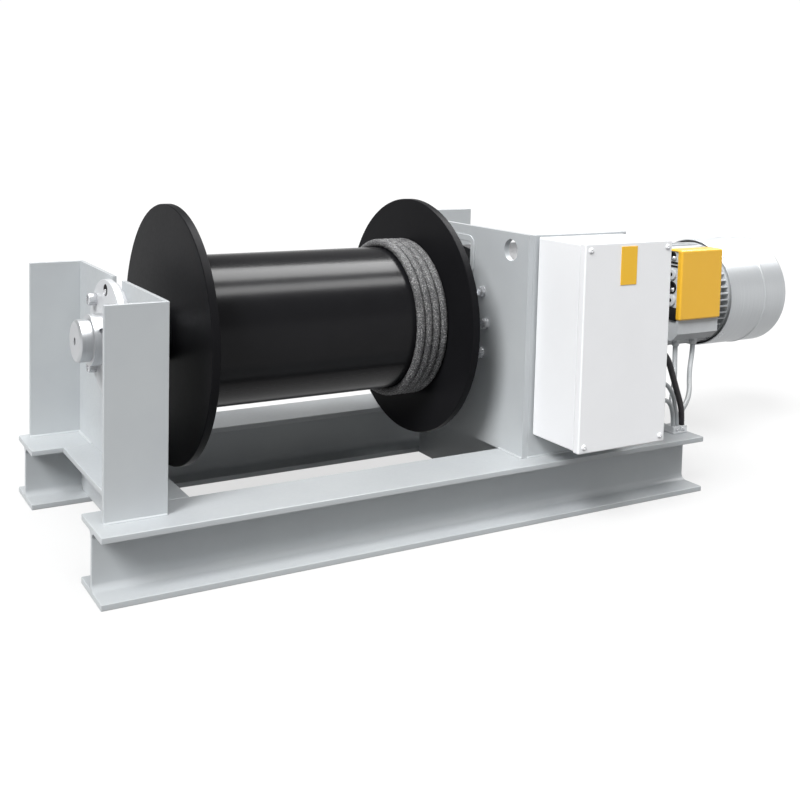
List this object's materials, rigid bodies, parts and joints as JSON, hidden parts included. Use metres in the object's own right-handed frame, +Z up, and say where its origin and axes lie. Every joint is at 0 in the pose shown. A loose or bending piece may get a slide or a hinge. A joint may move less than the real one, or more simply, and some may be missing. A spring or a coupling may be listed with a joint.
{
  "type": "electric mooring winch",
  "caption": "Electric mooring winch on two steel beams: a rope drum between a bearing stand and a bulkhead with coaxial gearbox and motor, and a switch cabinet.",
  "frame": {"origin": "centre of the front beam's underside, on the floor", "axes": "+X along the drum's axis from the bearing to the motor, +Y from the front beam to the rear beam, +Z up"},
  "size_m": [1.799, 0.713, 0.6195],
  "materials": {
    "frame_paint": "light grey satin paint",
    "bearing_steel": "pale machined casting",
    "bright_screws": "zinc-plated",
    "shaft_steel": "turned bright steel",
    "drum_paint": "black satin paint",
    "wire_rope": "greased steel wire rope",
    "gearbox_paint": "grey machine paint",
    "motor_paint": "grey painted aluminium casting",
    "cowl_metal": "brushed sheet metal",
    "cover_yellow": "yellow satin paint",
    "gland_plastic": "light grey plastic",
    "cable_grey": "grey cable sheath",
    "conduit_black": "black corrugated conduit",
    "cabinet_paint": "off-white powder coat",
    "gasket_rubber": "dark sealing strip",
    "spacer_steel": "plain steel",
    "sign_yellow": "blank yellow plate"
  },
  "bodies": {
    "frame": {"front_beam": "frame_paint", "rear_beam": "frame_paint", "left_cross_plate": "frame_paint", "left_cross_web": "frame_paint", "right_cross_plate": "frame_paint", "bearing_stand_web": "frame_paint", "bearing_stand_front_flange": "frame_paint", "bearing_stand_rear_flange": "frame_paint", "bearing_housing": "bearing_steel", "bearing_screws": "bright_screws", "bulkhead": "frame_paint", "window_frame": "frame_paint", "front_side_plate": "frame_paint", "rear_side_plate": "frame_paint", "gearbox_flange": "gearbox_paint", "gearbox_bolts": "bright_screws", "gearbox_main_stage": "gearbox_paint", "gearbox_input_stage": "gearbox_paint", "motor_adapter": "gearbox_paint", "motor_housing": "motor_paint", "motor_brake": "motor_paint", "fan_cowl": "cowl_metal", "terminal_box_base": "motor_paint", "terminal_box_cover": "cover_yellow", "terminal_box_glands": "gland_plastic", "cabinet_body": "cabinet_paint", "cabinet_gasket": "gasket_rubber", "cabinet_cover": "cabinet_paint", "cover_screws": "bright_screws", "cabinet_spacers": "spacer_steel", "sign_plate": "sign_yellow", "cable_clamp": "gland_plastic", "left_motor_cable": "cable_grey", "right_motor_cable": "cable_grey", "cabinet_conduit": "conduit_black", "upper_cabinet_lead": "cable_grey", "lower_cabinet_lead": "cable_grey"},
    "drum": {"drum_shaft": "shaft_steel", "shaft_collar": "shaft_steel", "drum_left_hub": "drum_paint", "drum_left_flange": "drum_paint", "drum_barrel": "drum_paint", "drum_right_flange": "drum_paint", "drive_hub": "shaft_steel", "rope_turns": "wire_rope"}
  },
  "joints": [
    {"name": "drum_spin", "type": "hinge", "parent": "frame", "child": "drum", "pos_m": [0, 0.2635, 0.3695], "axis": [1, 0, 0], "continuous": true}
  ]
}
